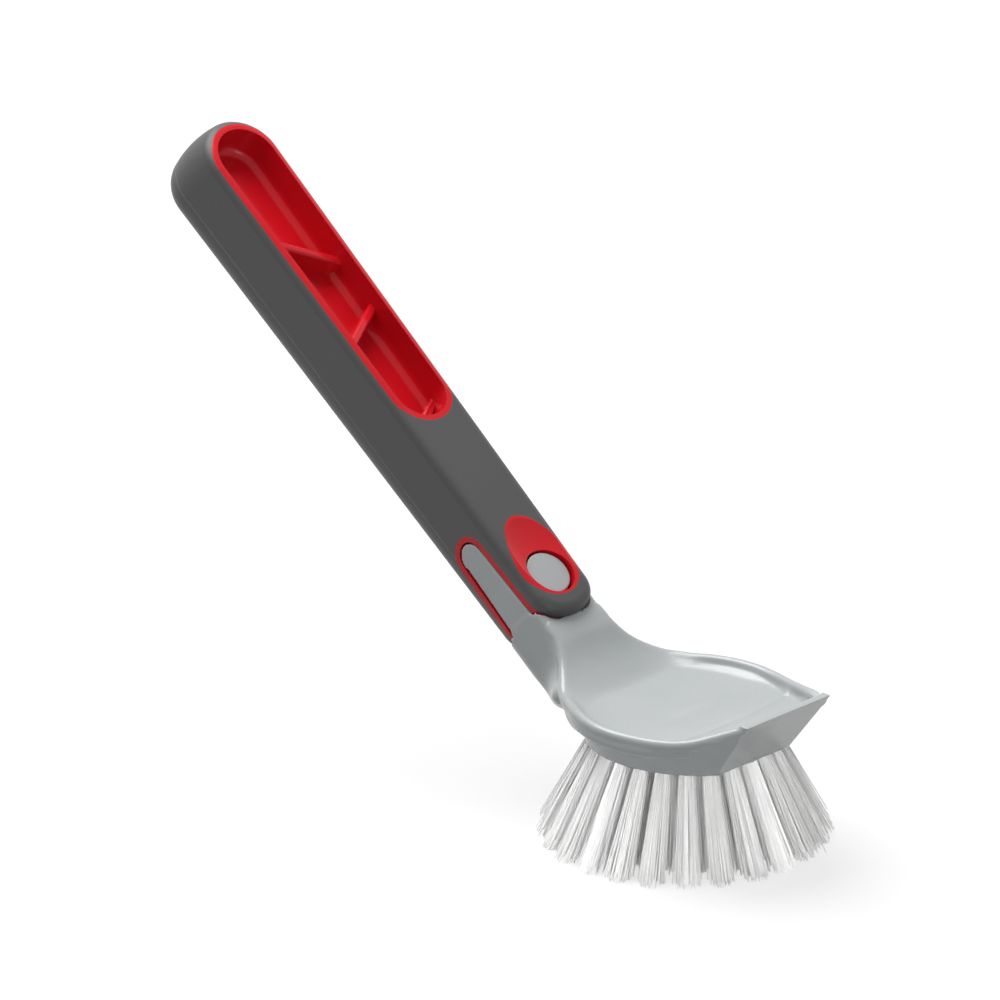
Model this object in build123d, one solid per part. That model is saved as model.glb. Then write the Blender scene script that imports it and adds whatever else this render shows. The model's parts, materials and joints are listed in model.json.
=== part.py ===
from build123d import *
from math import asin, atan2, cos, degrees, pi, radians, sin, sqrt, tan
import os

os.makedirs("parts", exist_ok=True)

# A dish brush. The bristle tips stand on z = 0, centred on the origin. The
# scraper lip points to +X, and the handle rises to -X. All lengths are in mm.

# Brush plate. From above it is round at the back and drawn out to two corners
# in front. The turn shares are parts of a half turn from the front, and the
# shares after them scale the radius there, at the base and at the rim.
bristle_length = 29.5
wall_height = 9.8
plate_radius = 32.0
plate_base_radius = 27.9
outline_turn_shares = (0.833, 0.667, 0.5, 0.345, 0.24)
base_radius_shares = (1.0, 1.0, 1.0, 1.01, 1.05)
rim_radius_shares = (1.0, 1.0, 1.0, 1.03, 1.11)
wall_thickness = 2.5
bead_radius = 1.7
dish_depth = 4.9
dish_radius = 180.0

# Scraper lip, and the height of the wall's top on its way up to the lip's ends
lip_base_half_width = 14.5
lip_half_width = 16.8
lip_base_x = 26.5
lip_top_x = 40.6
lip_rise = 9.3
lip_thickness = 2.2
climb_start_x = 4.0
climb_end_gap = 1.0
side_rise = 0.5
corner_rise = 2.4
cheek_rise = 4.4
end_rise = 7.7
bead_end_drop = 0.6
climb_slope_share = 1.6

# Handle, in its own frame: x runs up the handle from the front lip, z is up
# from the flat top, and y is sideways.
handle_pitch = 37.5
mouth_x = -40.0
mouth_z = 55.2
handle_length = 176.0
nose_start = 1.4
nose_radius = 14.5
nose_corner_radius = 7.8
end_swell = 2.6
swell_depth = 12.5
front_radius = 10.75
end_radius = 12.7
front_thickness = 24.5
end_thickness = 26.5
bottom_round = 7.4
top_round = 3.0
grip_thickness = 1.5

# Pocket in the handle, with its lip and ribs
pocket_start = 69.5
pocket_end = 174.7
pocket_front_radius = 10.4
pocket_end_radius = 11.5
pocket_lip = 1.8
pocket_depth = 10.0
pocket_floor_round = 3.0
rib_thickness = 2.8
rib_top_drop = 1.2
rib_fade = 3.6
low_rib_height = 3.0
# Where the ribs meet the pocket's walls, as shares of the pocket's length
rib_places_share = (0.64, 0.54, 0.385, 0.29, 0.08, 0.03)

# Thumb scoop and button
button_x = 15.1
button_radius = 6.8
button_gap = 0.6
button_drop = 1.6
button_edge_round = 0.5
scoop_centre_x = 16.7
scoop_radius = 9.8
scoop_tip_x = 34.2
scoop_depth = 1.4
scoop_hollow_share = 0.92

# Side prongs and the notches that they lie in
prong_centre_drop = 11.8
prong_tip_x = 35.7
prong_front_radius = 5.7
prong_tip_radius = 4.2
notch_gap = 0.55
notch_rim = 1.7

# Tang in its socket
tang_half_width = 7.6
tang_top_drop = 4.6
tang_bottom_drop = 19.0
tang_length = 46.0
tang_lead = 0.2
tang_round = 1.2
socket_gap = 0.3
front_gap = 0.45

# Latch tongue
tongue_half_width = 4.0
tongue_thickness = 1.8
tongue_gap = 0.4
tongue_root_x = 42.0
root_radius = 1.4
root_gap = 0.08
latch_room = 4.4

# Neck, as slices from the handle's mouth to the dish. The shares say how far
# each slice lies along the neck, and how much of the flare it has.
mouth_half_width = 10.35
shoulder_half_width = 25.0
underside_half_width = 19.0
neck_end_share = 0.60
neck_shares = (0.0, 0.12, 0.25, 0.45, 0.7, 1.0)
shoulder_shares = (0.0, 0.035, 0.08, 0.5, 0.86, 1.0)
underside_shares = (0.0, 0.045, 0.055, 0.07, 0.28, 1.0)
neck_round = 4.0
neck_round_shares = (0.8, 0.9, 1.1, 1.25, 1.1, 0.5)
neck_end_round = 1.8
neck_hollow = 1.0
neck_sink = 0.8
neck_top_drop = 4.1
ear_reach = 4.0
# Where the bead runs on the neck's shoulder, as shares of the plate's radius
bead_place_shares = (
    (-1.17, 0.275, 0.155),
    (-1.035, 0.455, 0.06),
    (-0.875, 0.625, 0.012),
    (-0.64, 0.765, 0.0),
    (-0.33, 0.91, 0.0),
)

# Bristles
tuft_pitch = 6.0
tuft_outer_radius = 24.2
ring_tufts = (24, 18, 12, 6)
strand_circle = 1.35
strand_width = 0.9
strand_sides = 4
strands_round = 6
splay = 1.56
slice_thickness = 1.6
slice_gap = 0.05
slice_margin = 2.5
anchor_width = 3.4
anchor_thickness = 0.5
anchor_height = 2.2

overrun = 5.0

# Places that follow from the sizes above
base_z = bristle_length
rim_z = base_z + wall_height
floor_z = rim_z + bead_radius - dish_depth
lip_top_z = rim_z + lip_rise
lip_lean = atan2(lip_top_x - lip_base_x, lip_top_z - base_z)
handle_plane = Plane(
    origin=(mouth_x, 0, mouth_z),
    x_dir=(-cos(radians(handle_pitch)), 0, sin(radians(handle_pitch))),
    z_dir=(sin(radians(handle_pitch)), 0, cos(radians(handle_pitch))),
)


def stadium(x_front, x_end, r_front, r_end):
    """A face round two circles and their outer tangents, from x_front to x_end."""
    centre_front = x_front + r_front
    centre_end = x_end - r_end
    slope = asin((r_end - r_front) / (centre_end - centre_front))
    front_tangent = (centre_front - r_front * sin(slope), r_front * cos(slope))
    end_tangent = (centre_end - r_end * sin(slope), r_end * cos(slope))
    outline = [
        Line(front_tangent, end_tangent),
        ThreePointArc(end_tangent, (x_end, 0), (end_tangent[0], -end_tangent[1])),
        Line((end_tangent[0], -end_tangent[1]), (front_tangent[0], -front_tangent[1])),
        ThreePointArc((front_tangent[0], -front_tangent[1]), (x_front, 0), front_tangent),
    ]
    return make_face(Wire(outline))


def side_slope():
    """How much the handle's half width grows for each millimetre up the handle."""
    run = handle_length - front_radius - end_radius
    return (end_radius - front_radius) / run


def handle_plan(inset, swell):
    """The handle's outline from above, drawn in by inset, its end run on by swell."""
    slope = side_slope()
    side_turn = asin(slope)
    end_x = handle_length - inset + swell
    radius = end_radius - inset + swell * slope
    end_side = (end_x - radius + radius * -sin(side_turn), radius * cos(side_turn))
    nose_x = nose_start + nose_radius
    nose = nose_radius - inset
    rise = tan(side_turn)
    start = end_side[1] - rise * end_side[0]
    half = rise * start - nose_x
    inside = half**2 - (1 + rise**2) * (nose_x**2 + start**2 - nose**2)
    corner_x = (-half - sqrt(inside)) / (1 + rise**2)
    corner = (corner_x, start + rise * corner_x)
    outline = [
        Line(corner, end_side),
        ThreePointArc(end_side, (end_x, 0), (end_side[0], -end_side[1])),
        Line((end_side[0], -end_side[1]), (corner[0], -corner[1])),
        ThreePointArc((corner[0], -corner[1]), (nose_start + inset, 0), corner),
    ]
    face = make_face(Wire(outline))
    corners = face.vertices().sort_by(Axis.X)[:2]
    return fillet(corners, nose_corner_radius - inset)


def handle_blank(inset):
    """The handle's outer shape, drawn in on every side by inset."""
    sections = [
        handle_plan(inset, 0),
        Pos(0, 0, -swell_depth) * handle_plan(inset, end_swell),
        Pos(0, 0, -2 * swell_depth - overrun) * handle_plan(inset, 0),
    ]
    body = loft(sections)
    far = handle_length + 2 * overrun
    side = make_face(
        Polyline(
            (-overrun, -inset),
            (far, -inset),
            (far, inset - end_thickness),
            (-overrun, inset - front_thickness),
            close=True,
        )
    )
    slab = extrude(Plane.XZ * side, amount=end_radius + overrun, both=True)
    body = body & slab
    bottom = body.faces().sort_by(Axis.Z)[0]
    body = fillet(bottom.edges(), bottom_round - inset)
    top = body.faces().sort_by(Axis.Z)[-1]
    return fillet(top.edges(), top_round - inset / 2)


def pocket_outline(inset):
    """The pocket's outline, drawn in by inset."""
    return stadium(
        pocket_start + inset,
        pocket_end - inset,
        pocket_front_radius - inset,
        pocket_end_radius - inset,
    )


def scoop_outline():
    """The thumb scoop's egg shape: a round end, and a longer end up the handle."""
    side = (scoop_centre_x, scoop_radius)
    other = (scoop_centre_x, -scoop_radius)
    tip_arc = EllipticalCenterArc(
        (scoop_centre_x, 0),
        scoop_tip_x - scoop_centre_x,
        scoop_radius,
        start_angle=-90,
        arc_size=180,
    )
    round_arc = ThreePointArc(side, (scoop_centre_x - scoop_radius, 0), other)
    return make_face(Wire([tip_arc, round_arc]))


def scoop_hollow():
    """A barrel whose lowest part hollows the scoop for the thumb."""
    half_width = scoop_radius * scoop_hollow_share
    half_length = (scoop_tip_x - scoop_centre_x + scoop_radius) / 2 * scoop_hollow_share
    centre_x = (scoop_tip_x + scoop_centre_x - scoop_radius) / 2
    across = (half_width**2 + scoop_depth**2) / (2 * scoop_depth)
    axis_z = across - scoop_depth
    low = (centre_x, axis_z - across)
    left = (centre_x - half_length, 0)
    right = (centre_x + half_length, 0)
    arc = ThreePointArc(left, low, right)
    rest = Polyline(right, (right[0], axis_z), (left[0], axis_z), left)
    barrel = Plane.XZ * make_face(Wire([arc] + list(rest.edges())))
    return revolve(barrel, Axis((centre_x, 0, axis_z), (1, 0, 0)), 360)


def notch_shape(extra, half_width):
    """A tapered round-ended bar through the handle's sides, larger by extra."""
    face = stadium(
        -prong_front_radius - extra,
        prong_tip_x + extra,
        prong_front_radius + extra,
        prong_tip_radius + extra,
    )
    placed = Plane(origin=(0, 0, -prong_centre_drop), x_dir=(1, 0, 0), z_dir=(0, -1, 0)) * face
    return extrude(placed, amount=half_width, both=True)


def between(low, high):
    """A box from one corner to the other."""
    size = [b - a for a, b in zip(low, high)]
    centre = [(a + b) / 2 for a, b in zip(low, high)]
    return Pos(*centre) * Box(*size)


def tang_blank(gap):
    """The bar that slides into the handle, larger by gap."""
    bar = between(
        (-tang_lead, -tang_half_width - gap, -tang_bottom_drop - gap),
        (tang_length + gap, tang_half_width + gap, gap - tang_top_drop),
    )
    end = bar.faces().sort_by(Axis.X)[-1]
    return fillet(end.edges(), tang_round)


def rib(start, finish, top_start, top_finish):
    """An upright web across the pocket, between two places at its walls."""
    run = sqrt((finish[0] - start[0]) ** 2 + (finish[1] - start[1]) ** 2)
    turn = degrees(atan2(finish[1] - start[1], finish[0] - start[0]))
    face = make_face(
        Polyline(
            (-overrun, -pocket_depth - overrun),
            (run + overrun, -pocket_depth - overrun),
            (run + overrun, top_finish),
            (run, top_finish),
            (0, top_start),
            (-overrun, top_start),
            close=True,
        )
    )
    web = extrude(Plane.XZ * face, amount=rib_thickness / 2, both=True)
    tops = web.faces().filter_by(lambda f: f.normal_at().Z > 0.5)
    edges = [e for f in tops for e in f.edges() if abs(e.tangent_at(0).X) > 0.5]
    web = fillet(edges, rib_thickness / 3)
    return Pos(start[0], start[1], 0) * Rot(0, 0, turn) * web


def pocket_ribs():
    """The zigzag ribs on the pocket's floor. The near side is +y in this frame."""
    wall = pocket_end_radius - pocket_lip
    length = pocket_end - pocket_start
    first_near = pocket_start + length * rib_places_share[0]
    first_far = pocket_start + length * rib_places_share[1]
    second_far = pocket_start + length * rib_places_share[2]
    second_near = pocket_start + length * rib_places_share[3]
    low_far = pocket_start + length * rib_places_share[4]
    low_near = pocket_start + length * rib_places_share[5]
    high = -rib_top_drop
    faded = -rib_top_drop - rib_fade
    low = low_rib_height - pocket_depth
    return [
        rib((first_near, wall), (first_far, -wall), high, faded),
        rib((second_far, -wall), (second_near, wall), faded, high),
        rib((low_far, -wall), (low_near, 0), low, low),
    ]


def handle_core(outer):
    """The red moulding inside the grip."""
    core = handle_blank(grip_thickness)
    pads = [
        extrude(Pos(0, 0, overrun) * pocket_outline(0), amount=-overrun - pocket_depth),
        extrude(Pos(0, 0, overrun) * scoop_outline(), amount=-overrun - tang_top_drop),
        notch_shape(notch_gap + notch_rim, end_radius + overrun),
    ]
    core = core + [pad & outer for pad in pads]
    hollow = extrude(pocket_outline(pocket_lip), amount=-pocket_depth)
    floor = hollow.faces().sort_by(Axis.Z)[0]
    hollow = fillet(floor.edges(), pocket_floor_round)
    ribs = [web & hollow for web in pocket_ribs()]
    open_top = extrude(pocket_outline(pocket_lip), amount=overrun)
    core = core - [hollow, open_top]
    core = core + ribs
    core = core - tang_blank(socket_gap)
    core = core - notch_shape(notch_gap, end_radius + overrun)
    core = core - scoop_hollow()
    hole = Pos(button_x, 0, -overrun) * Cylinder(
        button_radius + button_gap, 3 * overrun
    )
    return core - hole


def handle_grip(outer):
    """The soft skin over the core, open at the pocket, the scoop and the notches."""
    skin = outer - handle_blank(grip_thickness)
    windows = [
        extrude(Pos(0, 0, overrun) * pocket_outline(0), amount=-overrun - pocket_depth),
        extrude(Pos(0, 0, overrun) * scoop_outline(), amount=-overrun - tang_top_drop),
        notch_shape(notch_gap + notch_rim, end_radius + overrun),
    ]
    skin = skin - windows
    return skin - tang_blank(socket_gap)


def side_flush(extra_front):
    """A slab between the planes of the handle's sides, run on past its front."""
    far = prong_tip_x + overrun
    slope = side_slope()
    front_half = front_radius - slope * (front_radius + extra_front)
    far_half = front_radius + slope * (far - front_radius)
    face = make_face(
        Polyline(
            (-extra_front, front_half),
            (far, far_half),
            (far, -far_half),
            (-extra_front, -front_half),
            close=True,
        )
    )
    return extrude(face, amount=-(front_thickness + overrun))


def prongs():
    """The two flush side prongs, joined through the tang."""
    reach = prong_front_radius + notch_gap
    return notch_shape(0, end_radius + overrun) & side_flush(reach)


def latch_cuts():
    """The room in the tang for the tongue, its root bead and the pressed button."""
    root_z = -tang_top_drop - root_radius - tongue_gap
    room = -tang_top_drop - tongue_thickness - latch_room
    channel = between(
        (button_x, -tongue_half_width - tongue_gap, room),
        (tongue_root_x, tongue_half_width + tongue_gap, overrun),
    )
    well = Pos(button_x, 0, (room + overrun) / 2) * Cylinder(
        button_radius + tongue_gap, overrun - room
    )
    seat = Pos(tongue_root_x, 0, root_z) * Rot(90, 0, 0) * Cylinder(
        root_radius + root_gap, 2 * (tongue_half_width + tongue_gap)
    )
    return [channel, well, seat]


def latch():
    """The button's disc on its tongue, with a round bead where the tongue bends."""
    root_z = -tang_top_drop - root_radius - tongue_gap
    top = -tang_top_drop - tongue_gap
    low = top - tongue_thickness
    tongue = between(
        (button_x, -tongue_half_width, low),
        (tongue_root_x, tongue_half_width, top),
    )
    disc = Pos(button_x, 0, (low - button_drop) / 2) * Cylinder(
        button_radius, -button_drop - low
    )
    rim = disc.faces().sort_by(Axis.Z)[-1]
    disc = fillet(rim.edges(), button_edge_round)
    bead = Pos(tongue_root_x, 0, root_z) * Rot(90, 0, 0) * Cylinder(
        root_radius, 2 * tongue_half_width
    )
    return tongue + disc + bead


def plate_marks(z, inset):
    """Places along one side of the plate's outline at one height, back to front."""
    share = (z - base_z) / wall_height
    marks = []
    for turn, low, high in zip(outline_turn_shares, base_radius_shares, rim_radius_shares):
        small = plate_base_radius * low
        radius = small + (plate_radius * high - small) * share - inset
        marks.append((radius * cos(pi * turn), radius * sin(pi * turn)))
    lip_share = (z - base_z) / (lip_top_z - base_z)
    x = lip_base_x + (lip_top_x - lip_base_x) * lip_share
    y = lip_base_half_width + (lip_half_width - lip_base_half_width) * lip_share
    marks.append((x - inset, y - inset / 2))
    return marks


def plate_face(z, inset):
    """The plate's outline at one height, drawn in by inset."""
    share = (z - base_z) / wall_height
    back = plate_base_radius + (plate_radius - plate_base_radius) * share - inset
    marks = plate_marks(z, inset)
    far = [(x, -y) for x, y in reversed(marks)]
    curve = Spline(*(far + [(-back, 0)] + marks))
    front = Line(marks[-1], far[0])
    return Pos(0, 0, z) * make_face(Wire([curve, front]))


def above_rim():
    """All that is cut away above the wall, which climbs to the lip's ends."""
    corner_x = plate_marks(rim_z + corner_rise, 0)[-2][0]
    last_x = lip_top_x - climb_end_gap
    last_z = rim_z + end_rise
    climb = [
        (climb_start_x, rim_z),
        (corner_x, rim_z + corner_rise),
        ((corner_x + lip_top_x) / 2, rim_z + cheek_rise),
        (last_x, last_z),
    ]
    curve = Spline(*climb, tangents=[(1, 0), (1, climb_slope_share)])
    far = lip_top_x + overrun
    rest = Polyline(
        (last_x, last_z),
        (far, last_z),
        (far, lip_top_z + overrun),
        (-far, lip_top_z + overrun),
        (-far, rim_z),
        (climb_start_x, rim_z),
    )
    side = make_face(Wire([curve] + list(rest.edges())))
    cut = extrude(Plane.XZ * side, amount=far, both=True)
    lip_room = between(
        (lip_base_x - 2 * overrun, -lip_half_width, base_z),
        (far + overrun, lip_half_width, lip_top_z + 2 * overrun),
    )
    return cut - lip_room


def bowl():
    """The dished plate with its wall, which runs on up as the scraper lip."""
    outer = loft([plate_face(base_z, 0), plate_face(lip_top_z, 0)], ruled=True)
    inside = loft(
        [plate_face(floor_z, wall_thickness), plate_face(rim_z, wall_thickness)],
        ruled=True,
    )
    hollow = Pos(0, 0, floor_z + dish_radius) * Sphere(dish_radius)
    dish = inside & hollow
    top_inset = lip_thickness / cos(lip_lean)
    room = loft(
        [plate_face(rim_z, wall_thickness), plate_face(lip_top_z + overrun, top_inset)],
        ruled=True,
    )
    return outer - dish - room - above_rim()


def bead():
    """The round bead on one side, from the neck's shoulder to the lip's end."""
    inset = wall_thickness / 2
    size = plate_radius
    places = [(x * size, y * size, rim_z + z * size) for x, y, z in bead_place_shares]
    for number, rise in ((2, 0), (3, side_rise), (4, corner_rise)):
        x, y = plate_marks(rim_z + rise, inset)[number]
        places.append((x, y, rim_z + rise))
    corner, end = plate_marks(rim_z + cheek_rise, inset)[-2:]
    middle = mix(corner, end, 1 / 2)
    places.append((middle[0], middle[1], rim_z + cheek_rise))
    last_z = rim_z + end_rise - bead_end_drop
    end = plate_marks(last_z, inset)[-1]
    places.append((end[0], end[1], last_z))
    path = Spline(*places)
    start = Plane(origin=path @ 0, z_dir=path % 0)
    tube = sweep(start * Circle(bead_radius), path=path)
    front = Plane(
        origin=(lip_base_x, 0, base_z),
        x_dir=(0, 1, 0),
        z_dir=(cos(lip_lean), 0, -sin(lip_lean)),
    )
    block = Rectangle(2 * plate_radius, 2 * plate_radius)
    return tube - front * extrude(block, amount=overrun)


def rounded_corner(before, corner, after, radius):
    """The start, middle and end of an arc that rounds a corner."""
    point = Vector(*corner)
    back = (Vector(*before) - point).normalized()
    ahead = (Vector(*after) - point).normalized()
    half = radians(back.get_angle(ahead)) / 2
    run = radius / tan(half)
    inward = (back + ahead).normalized()
    middle = point + inward * (radius / sin(half) - radius)
    return (point + back * run, middle, point + ahead * run)


def neck_section(top, bottom, top_half, bottom_half, high_round, low_round):
    """One slice of the neck, from its top line to its bottom line."""
    height = sqrt((top[0] - bottom[0]) ** 2 + (top[1] - bottom[1]) ** 2)
    up = ((top[0] - bottom[0]) / height, 0, (top[1] - bottom[1]) / height)
    plane = Plane(
        origin=(top[0], 0, top[1]), x_dir=(0, 1, 0), z_dir=(up[2], 0, -up[0])
    )
    corners = [
        (-top_half, 0),
        (top_half, 0),
        (bottom_half, -height),
        (-bottom_half, -height),
    ]
    rounds = [high_round, high_round, low_round, low_round]
    arcs = []
    for k, corner in enumerate(corners):
        after = corners[(k + 1) % len(corners)]
        arcs.append(rounded_corner(corners[k - 1], corner, after, rounds[k]))
    outline = []
    for k, (start, middle, end) in enumerate(arcs):
        outline.append(ThreePointArc(start, middle, end))
        outline.append(Line(end, arcs[(k + 1) % len(arcs)][0]))
    return plane * make_face(Wire(outline))


def in_side_view(x, z):
    """A point of the handle's middle plane, as x and z of the brush."""
    point = handle_plane.from_local_coords(Vector(x, 0, z))
    return (point.X, point.Z)


def mix(a, b, share):
    """The point a share of the way from a to b."""
    return tuple(p + (q - p) * share for p, q in zip(a, b))


def bend(start, middle, end, share):
    """A point on the curve that leaves start and reaches end by way of middle."""
    return mix(mix(start, middle, share), mix(middle, end, share), share)


def neck():
    """The neck, lofted from the handle's mouth down into the dish."""
    mouth_top = in_side_view(0, -neck_top_drop)
    mouth_bottom = in_side_view(0, -front_thickness)
    drop = (mouth_bottom[1] - base_z) / sin(radians(handle_pitch))
    knee = (mouth_bottom[0] + drop * cos(radians(handle_pitch)), base_z)
    end_x = -plate_radius * neck_end_share
    dish = (end_x, floor_z - neck_sink)
    under = (end_x - neck_sink, base_z + neck_sink)
    middle = mix(mouth_top, dish, 1 / 2)
    waist = (middle[0] - neck_hollow, middle[1] - 2 * neck_hollow)
    back_top = in_side_view(front_radius, -neck_top_drop)
    back_bottom = in_side_view(front_radius, -front_thickness)
    first_round = neck_round * neck_round_shares[0]
    half = mouth_half_width
    sections = [
        neck_section(back_top, back_bottom, half, half, first_round, bottom_round)
    ]
    tables = (neck_shares, shoulder_shares, underside_shares, neck_round_shares)
    for share, shoulder, underside, roundness in zip(*tables):
        sections.append(
            neck_section(
                bend(mouth_top, waist, dish, share),
                bend(mouth_bottom, knee, under, share),
                half + (shoulder_half_width - half) * shoulder,
                half + (underside_half_width - half) * underside,
                neck_round * roundness,
                bottom_round + (neck_end_round - bottom_round) * share,
            )
        )
    return loft(sections)


def tuft_places():
    """The middle of every tuft, ring by ring, the centre tuft in the inner ring."""
    rings = []
    for number, count in enumerate(ring_tufts):
        radius = tuft_outer_radius - tuft_pitch * number
        turn = 2 * pi / count
        rings.append([(radius * cos(i * turn), radius * sin(i * turn)) for i in range(count)])
    rings[-1].append((0, 0))
    return rings


def slice_edge(number):
    """The outer radius of a ring's slice of backing."""
    if number == 0:
        return tuft_outer_radius + slice_margin
    return tuft_outer_radius - tuft_pitch * (number - 1 / 2)


def anchor_boxes():
    """A small upright flat over each tuft, set along its ring."""
    boxes = []
    for ring in tuft_places():
        for x, y in ring:
            flat = Box(anchor_thickness, anchor_width, anchor_height)
            turn = degrees(atan2(y, x))
            z = base_z + slice_thickness + anchor_height / 2
            boxes.append(Pos(x, y, z) * Rot(0, 0, turn) * flat)
    return boxes


def brush_head():
    """Plate, scraper lip, neck, prongs and tang in one moulding."""
    mouth = Pos(0, 0, overrun) * handle_plan(-front_gap, 0)
    handle_room = extrude(mouth, amount=-(end_thickness + 2 * overrun))
    ears = between(
        (ear_reach, -2 * end_radius, -2 * end_thickness),
        (end_thickness, 2 * end_radius, overrun),
    )
    head = bowl() + bead()
    head = head + mirror(bead(), Plane.XZ)
    head = head + (neck() - handle_plane * handle_room - handle_plane * ears)
    male = tang_blank(0) + prongs()
    male = male - latch_cuts()
    head = head + handle_plane * male
    recess = Pos(0, 0, base_z + slice_thickness / 2 - overrun / 2) * Cylinder(
        slice_edge(0) + slice_gap, slice_thickness + overrun
    )
    return head - recess - anchor_boxes()


def bristle_ring(number, places):
    """One ring's slice of backing with its splayed strands."""
    outer = slice_edge(number)
    disc = Cylinder(outer, slice_thickness)
    if number + 1 < len(ring_tufts):
        disc = disc - Cylinder(slice_edge(number + 1) + slice_gap, overrun)
    disc = Pos(0, 0, base_z + slice_thickness / 2) * disc
    start_z = base_z + slice_thickness / 2
    strands = []
    for x, y in places:
        spots = [(x, y)]
        for i in range(strands_round):
            angle = 2 * pi * i / strands_round
            spots.append((x + strand_circle * cos(angle), y + strand_circle * sin(angle)))
        for px, py in spots:
            section = Pos(px, py, start_z) * RegularPolygon(
                strand_width / 2, strand_sides, major_radius=False
            )
            run = Vector((splay - 1) * px, (splay - 1) * py, -start_z)
            strands.append(extrude(section, amount=run.length, dir=run.normalized()))
    return disc.fuse(*strands)


def save(shape, name):
    """Writes one piece."""
    export_step(shape, "parts/" + name + ".step")


outer_shape = handle_blank(0)
save(handle_plane * handle_core(outer_shape), "handle_core")
save(handle_plane * handle_grip(outer_shape), "handle_grip")
save(brush_head(), "head_body")
save(handle_plane * latch(), "latch_button")
ring_names = ("bristles_outer", "bristles_second", "bristles_third", "bristles_inner")
for ring_number, ring_places in enumerate(tuft_places()):
    save(bristle_ring(ring_number, ring_places), ring_names[ring_number])
save(Compound(children=[box for box in anchor_boxes()]), "tuft_anchors")
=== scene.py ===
# %% [markdown]
# # A dish brush in Blender
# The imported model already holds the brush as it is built: a grey head with its
# neck, a red handle with a rubber grip, and a button that latches the two. This
# file keeps those parts, gives each its real finish, and grows the bristles.
# We start by loading the parts and noting the box that they fill.

import json
import math

import bmesh
import bpy
from mathutils import Matrix, Vector


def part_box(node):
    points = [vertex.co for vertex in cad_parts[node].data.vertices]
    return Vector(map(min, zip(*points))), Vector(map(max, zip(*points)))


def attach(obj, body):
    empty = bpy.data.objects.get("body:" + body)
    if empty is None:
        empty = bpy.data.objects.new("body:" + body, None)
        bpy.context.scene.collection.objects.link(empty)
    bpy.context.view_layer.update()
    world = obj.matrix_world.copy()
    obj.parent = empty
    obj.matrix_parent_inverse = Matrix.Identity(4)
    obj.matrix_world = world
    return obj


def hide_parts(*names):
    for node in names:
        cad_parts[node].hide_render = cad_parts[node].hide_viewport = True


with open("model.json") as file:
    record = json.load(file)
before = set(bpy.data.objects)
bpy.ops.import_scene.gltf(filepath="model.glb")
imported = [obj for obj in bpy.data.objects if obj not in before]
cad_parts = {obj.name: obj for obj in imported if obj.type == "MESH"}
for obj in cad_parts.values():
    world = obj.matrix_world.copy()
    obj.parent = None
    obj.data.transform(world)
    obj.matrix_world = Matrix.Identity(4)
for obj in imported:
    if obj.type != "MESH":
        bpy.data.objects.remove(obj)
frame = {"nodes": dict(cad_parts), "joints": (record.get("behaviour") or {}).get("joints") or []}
parts = frame["nodes"]
joints = {joint["name"]: joint for joint in frame["joints"]}
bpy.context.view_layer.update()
print("parts:", ", ".join(sorted(parts)))

# %% [markdown]
# ## The handle's own directions
# The handle leans, so a line drawn along it needs the handle's own axes. The
# slide joint already points up the handle, and the button's hinge is a known
# place on it. Reading both from the frame keeps the finish in step with the part.

# %% Find the handle's axes
MM = 0.001
HINGE_ALONG = 42.0 * MM
HINGE_BELOW = 6.4 * MM
up_handle = Vector(joints["handle_pull_off"]["axis"]).normalized()
off_handle = Vector((up_handle.z, 0, -up_handle.x))
hinge = Vector(joints["button_press"]["pos_m"])
handle_front = hinge - up_handle * HINGE_ALONG + off_handle * HINGE_BELOW
print("front of the handle:", [round(value, 4) for value in handle_front])

# %% [markdown]
# ## The camera
# The photograph was taken from in front of the scraper, to one side and above,
# with a long lens that leaves parallel edges parallel. An orthographic camera
# gives the same view. Its frame is as many millimetres wide as the picture's
# thousand pixels cover.

# %% Place the camera
AZIMUTH = math.radians(44.0)
ELEVATION = math.radians(23.3)
FRAME_PIXELS = 1000
PIXELS_PER_MM = 3.576
RIM_PIXEL = (685.0, 702.8)
RIM_HEIGHT = 39.3 * MM
RIM_CENTRE = Vector((0, 0, RIM_HEIGHT))
CAMERA_DISTANCE = 1.5

right = Vector((math.cos(AZIMUTH), math.sin(AZIMUTH), 0))
back = Vector(
    (
        math.sin(AZIMUTH) * math.cos(ELEVATION),
        -math.cos(AZIMUTH) * math.cos(ELEVATION),
        math.sin(ELEVATION),
    )
)
up = back.cross(right)
to_right = (FRAME_PIXELS / 2 - RIM_PIXEL[0]) / PIXELS_PER_MM * MM
to_top = (RIM_PIXEL[1] - FRAME_PIXELS / 2) / PIXELS_PER_MM * MM
camera_data = bpy.data.cameras.new("camera")
camera_data.type = "ORTHO"
camera_data.ortho_scale = FRAME_PIXELS / PIXELS_PER_MM * MM
camera = bpy.data.objects.new("camera", camera_data)
camera.location = RIM_CENTRE + right * to_right + up * to_top + back * CAMERA_DISTANCE
camera.rotation_mode = "QUATERNION"
camera.rotation_quaternion = (-back).to_track_quat("-Z", "Y")
bpy.context.scene.collection.objects.link(camera)
bpy.context.scene.camera = camera
bpy.context.scene.view_settings.view_transform = "Standard"
print("frame width in mm:", round(camera_data.ortho_scale / MM, 1))

# %% [markdown]
# ## Two helpers for nodes and colours
# Materials and geometry are both built from nodes, so one helper adds a node,
# sets its options and fills its inputs with values or with links. Colours are
# written as a picture editor shows them, and turned to the linear values that
# the renderer adds up.


# %% Add a node, read a colour
def add(tree, kind, inputs=None, **options):
    """Adds a node with its options, and fills or links its inputs."""
    made = tree.nodes.new(kind)
    for name, value in options.items():
        setattr(made, name, value)
    for socket, value in (inputs or {}).items():
        if isinstance(value, bpy.types.NodeSocket):
            tree.links.new(value, made.inputs[socket])
        else:
            made.inputs[socket].default_value = value
    return made


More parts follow.
